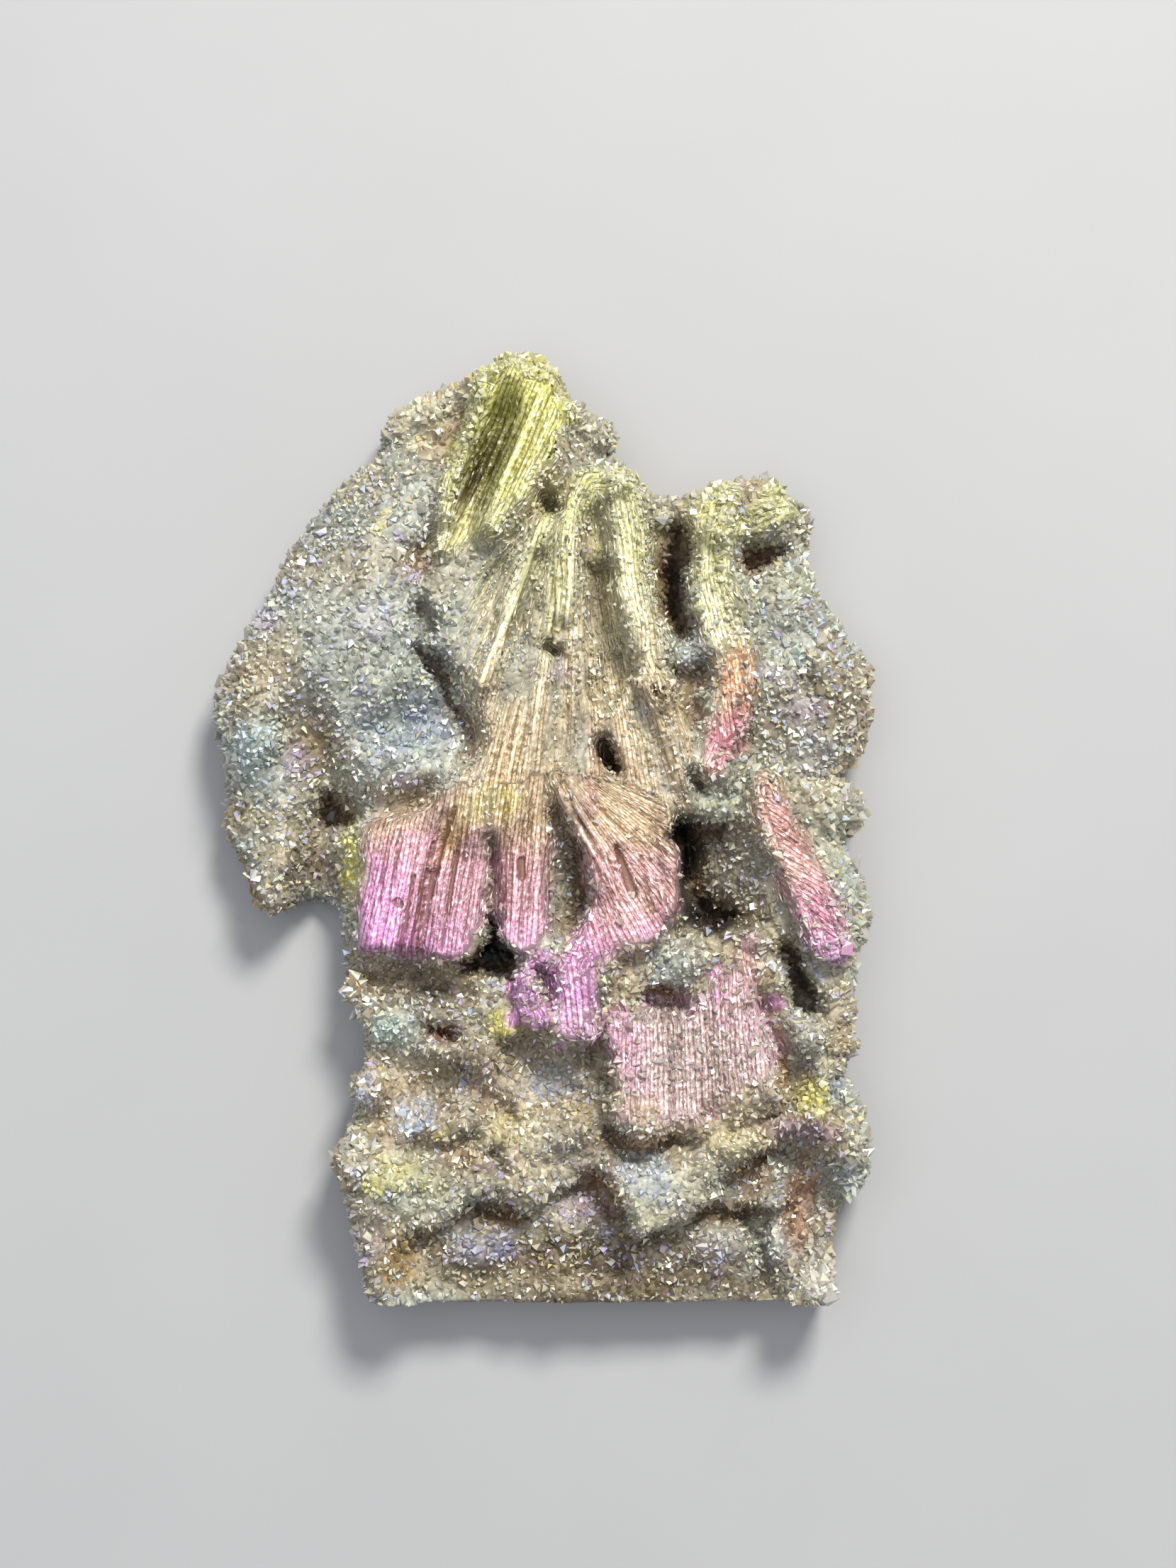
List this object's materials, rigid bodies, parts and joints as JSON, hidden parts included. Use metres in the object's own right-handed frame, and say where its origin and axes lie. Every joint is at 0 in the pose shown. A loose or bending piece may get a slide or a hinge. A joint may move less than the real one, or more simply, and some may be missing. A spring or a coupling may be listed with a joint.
{
  "type": "sphalerite slab",
  "caption": "Rough-edged slab of rock overgrown with quartz druse, with metal-tinted plates, fins and hollows in front and sawn flat on its back and foot.",
  "frame": {"origin": "bottom centre of the bounding box, on the plane of the sawn back", "axes": "+Z out of the crystal front, +Y from the sawn foot to the peak, +X to the right as the front is seen"},
  "size_m": [0.0775, 0.1095, 0.0209],
  "materials": {
    "druse": "glittering quartz grains over grey-beige rock, with gold, peach and pink metal tints on the plates"
  },
  "bodies": {
    "root": {"slab": "druse"}
  },
  "joints": []
}
